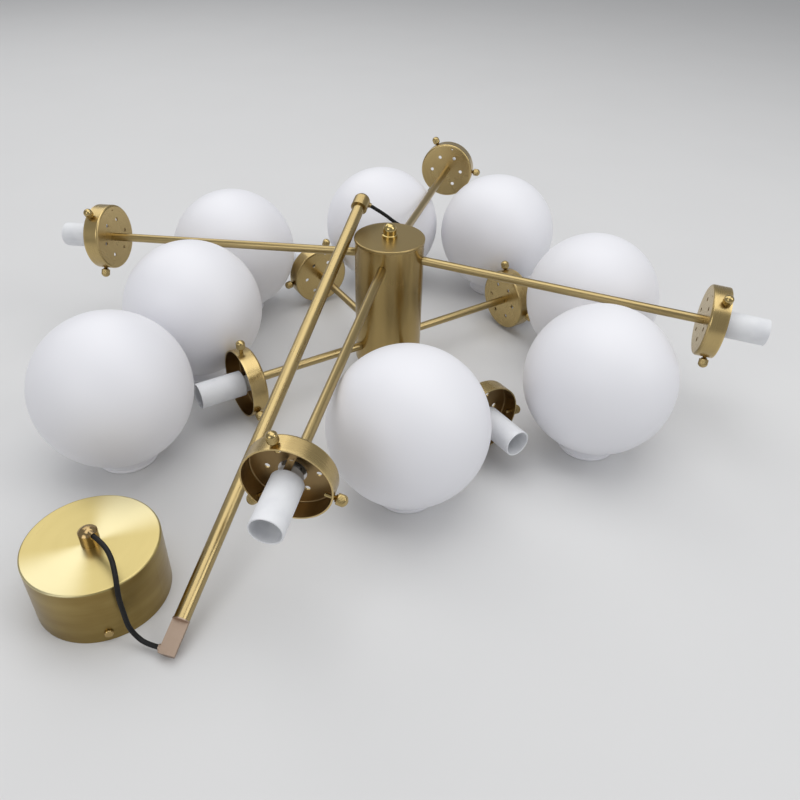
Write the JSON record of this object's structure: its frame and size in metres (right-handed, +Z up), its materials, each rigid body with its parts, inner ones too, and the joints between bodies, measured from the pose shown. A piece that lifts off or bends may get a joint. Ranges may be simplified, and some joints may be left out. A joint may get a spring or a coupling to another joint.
{
  "type": "sputnik chandelier",
  "caption": "Sputnik chandelier laid out for hanging: hub with radial arms, lamp cups, opal ball shades, drop rod, ceiling canopy and cord.",
  "frame": {"origin": "on the surface that the chandelier stands on, under the hub's axis", "axes": "+Z up along the hub's axis, +X along the right upper arm to within 2.2 degrees, +Y to the back; the canopy and the rod's foot lie on the -Y side"},
  "size_m": [0.7918, 0.8356, 0.1939],
  "materials": {
    "satin_brass": "satin, brushed round the axis, lacquered",
    "polished_brass": "turned and polished",
    "plated_steel": "zinc plated",
    "chrome_strap": "bright plated strip",
    "white_plastic": "matt moulded",
    "block_plastic": "moulded",
    "opal_glass": "satin opal, etched outside",
    "black_cord": "round sheath, slight sheen"
  },
  "bodies": {
    "frame": {"hub_shell": "satin_brass", "hub_top_plate": "satin_brass", "hub_bottom_plate": "satin_brass", "hub_stem": "plated_steel", "finial_nut": "polished_brass", "hub_foot": "satin_brass", "lock_nuts": "plated_steel", "terminal_blocks": "block_plastic", "lampholders": "white_plastic", "holder_straps": "chrome_strap", "thumbscrews": "polished_brass", "rod_tube": "satin_brass", "rod_lower_fitting": "plated_steel", "rod_upper_ferrule": "satin_brass", "canopy_shell": "satin_brass", "canopy_cord_grip": "polished_brass", "canopy_crossbar": "plated_steel", "canopy_side_screws": "polished_brass", "cord_canopy": "black_cord", "cord_hub": "black_cord", "arm_upper_right": "satin_brass", "gallery_upper_right": "satin_brass", "arm_upper_back": "satin_brass", "gallery_upper_back": "satin_brass", "arm_upper_left": "satin_brass", "gallery_upper_left": "satin_brass", "arm_upper_front": "satin_brass", "gallery_upper_front": "satin_brass", "arm_lower_right_back": "satin_brass", "gallery_lower_right_back": "satin_brass", "arm_lower_left_back": "satin_brass", "gallery_lower_left_back": "satin_brass", "arm_lower_left_front": "satin_brass", "gallery_lower_left_front": "satin_brass", "arm_lower_right_front": "satin_brass", "gallery_lower_right_front": "satin_brass"},
    "sleeve_upper_right": {"sleeve_upper_right": "white_plastic"},
    "clamp_screw_upper_right": {"clamp_screw_upper_right": "polished_brass"},
    "sleeve_upper_back": {"sleeve_upper_back": "white_plastic"},
    "clamp_screw_upper_back": {"clamp_screw_upper_back": "polished_brass"},
    "sleeve_upper_left": {"sleeve_upper_left": "white_plastic"},
    "clamp_screw_upper_left": {"clamp_screw_upper_left": "polished_brass"},
    "sleeve_upper_front": {"sleeve_upper_front": "white_plastic"},
    "clamp_screw_upper_front": {"clamp_screw_upper_front": "polished_brass"},
    "sleeve_lower_right_back": {"sleeve_lower_right_back": "white_plastic"},
    "clamp_screw_lower_right_back": {"clamp_screw_lower_right_back": "polished_brass"},
    "sleeve_lower_left_back": {"sleeve_lower_left_back": "white_plastic"},
    "clamp_screw_lower_left_back": {"clamp_screw_lower_left_back": "polished_brass"},
    "sleeve_lower_left_front": {"sleeve_lower_left_front": "white_plastic"},
    "clamp_screw_lower_left_front": {"clamp_screw_lower_left_front": "polished_brass"},
    "sleeve_lower_right_front": {"sleeve_lower_right_front": "white_plastic"},
    "clamp_screw_lower_right_front": {"clamp_screw_lower_right_front": "polished_brass"},
    "globe_1": {"globe_1": "opal_glass"},
    "globe_2": {"globe_2": "opal_glass"},
    "globe_3": {"globe_3": "opal_glass"},
    "globe_4": {"globe_4": "opal_glass"},
    "globe_5": {"globe_5": "opal_glass"},
    "globe_6": {"globe_6": "opal_glass"},
    "globe_7": {"globe_7": "opal_glass"},
    "globe_8": {"globe_8": "opal_glass"}
  },
  "joints": [
    {"name": "sleeve_upper_right_pull", "type": "slide", "parent": "frame", "child": "sleeve_upper_right", "axis": [0.9969, -0.0383, -0.068], "range_m": [0, 0.04]},
    {"name": "clamp_screw_upper_right_turn", "type": "slide", "parent": "frame", "child": "clamp_screw_upper_right", "axis": [0.0397, -0.5019, 0.864], "range_m": [-0.0008, 0.006]},
    {"name": "sleeve_upper_back_pull", "type": "slide", "parent": "frame", "child": "sleeve_upper_back", "axis": [0.0104, 0.9976, -0.068], "range_m": [0, 0.04]},
    {"name": "clamp_screw_upper_back_turn", "type": "slide", "parent": "frame", "child": "clamp_screw_upper_back", "axis": [-0.4688, 0.065, 0.8809], "range_m": [-0.0008, 0.006]},
    {"name": "sleeve_upper_left_pull", "type": "slide", "parent": "frame", "child": "sleeve_upper_left", "axis": [-0.9977, 0, -0.068], "range_m": [0, 0.04]},
    {"name": "clamp_screw_upper_left_turn", "type": "slide", "parent": "frame", "child": "clamp_screw_upper_left", "axis": [0, 1, 0], "range_m": [-0.0008, 0.006]},
    {"name": "sleeve_upper_front_pull", "type": "slide", "parent": "frame", "child": "sleeve_upper_front", "axis": [0.0209, -0.9975, -0.068], "range_m": [0, 0.04]},
    {"name": "clamp_screw_upper_front_turn", "type": "slide", "parent": "frame", "child": "clamp_screw_upper_front", "axis": [-0.2065, -0.0709, 0.9759], "range_m": [-0.0008, 0.006]},
    {"name": "sleeve_lower_right_back_pull", "type": "slide", "parent": "frame", "child": "sleeve_lower_right_back", "axis": [0.7021, 0.712, 0.014], "range_m": [0, 0.04]},
    {"name": "clamp_screw_lower_right_back_turn", "type": "slide", "parent": "frame", "child": "clamp_screw_lower_right_back", "axis": [-0.2527, 0.2308, 0.9396], "range_m": [-0.0008, 0.006]},
    {"name": "sleeve_lower_left_back_pull", "type": "slide", "parent": "frame", "child": "sleeve_lower_left_back", "axis": [-0.7095, 0.7046, 0.014], "range_m": [0, 0.04]},
    {"name": "clamp_screw_lower_left_back_turn", "type": "slide", "parent": "frame", "child": "clamp_screw_lower_left_back", "axis": [0.2503, 0.2334, 0.9396], "range_m": [-0.0008, 0.006]},
    {"name": "sleeve_lower_left_front_pull", "type": "slide", "parent": "frame", "child": "sleeve_lower_left_front", "axis": [-0.6883, -0.7253, 0.014], "range_m": [0, 0.006]},
    {"name": "clamp_screw_lower_left_front_turn", "type": "slide", "parent": "frame", "child": "clamp_screw_lower_left_front", "axis": [0.0096, 0.0101, 0.9999], "range_m": [-0.0048, 0.002]},
    {"name": "sleeve_lower_right_front_pull", "type": "slide", "parent": "frame", "child": "sleeve_lower_right_front", "axis": [0.7253, -0.6883, 0.014], "range_m": [0, 0.04]},
    {"name": "clamp_screw_lower_right_front_turn", "type": "slide", "parent": "frame", "child": "clamp_screw_lower_right_front", "axis": [-0.2449, -0.2391, 0.9396], "range_m": [-0.0008, 0.006]},
    {"name": "globe_1_lift", "type": "slide", "parent": "frame", "child": "globe_1", "axis": [-0.5265, -0.6275, 0.5736], "range_m": [0, 0.07]},
    {"name": "globe_2_lift", "type": "slide", "parent": "frame", "child": "globe_2", "axis": [-0.5567, -0.3214, 0.766], "range_m": [0, 0.07]},
    {"name": "globe_3_lift", "type": "slide", "parent": "frame", "child": "globe_3", "axis": [-0.604, 0.2198, 0.766], "range_m": [0, 0.07]},
    {"name": "globe_4_lift", "type": "slide", "parent": "frame", "child": "globe_4", "axis": [-0.4096, 0.7094, 0.5736], "range_m": [0, 0.07]},
    {"name": "globe_5_lift", "type": "slide", "parent": "frame", "child": "globe_5", "axis": [0.4096, 0.7094, 0.5736], "range_m": [0, 0.07]},
    {"name": "globe_6_lift", "type": "slide", "parent": "frame", "child": "globe_6", "axis": [0.604, 0.2198, 0.766], "range_m": [0, 0.07]},
    {"name": "globe_7_lift", "type": "slide", "parent": "frame", "child": "globe_7", "axis": [0.4924, -0.4132, 0.766], "range_m": [0, 0.07]},
    {"name": "globe_8_lift", "type": "slide", "parent": "frame", "child": "globe_8", "axis": [0.4096, -0.7094, 0.5736], "range_m": [0, 0.07]}
  ]
}
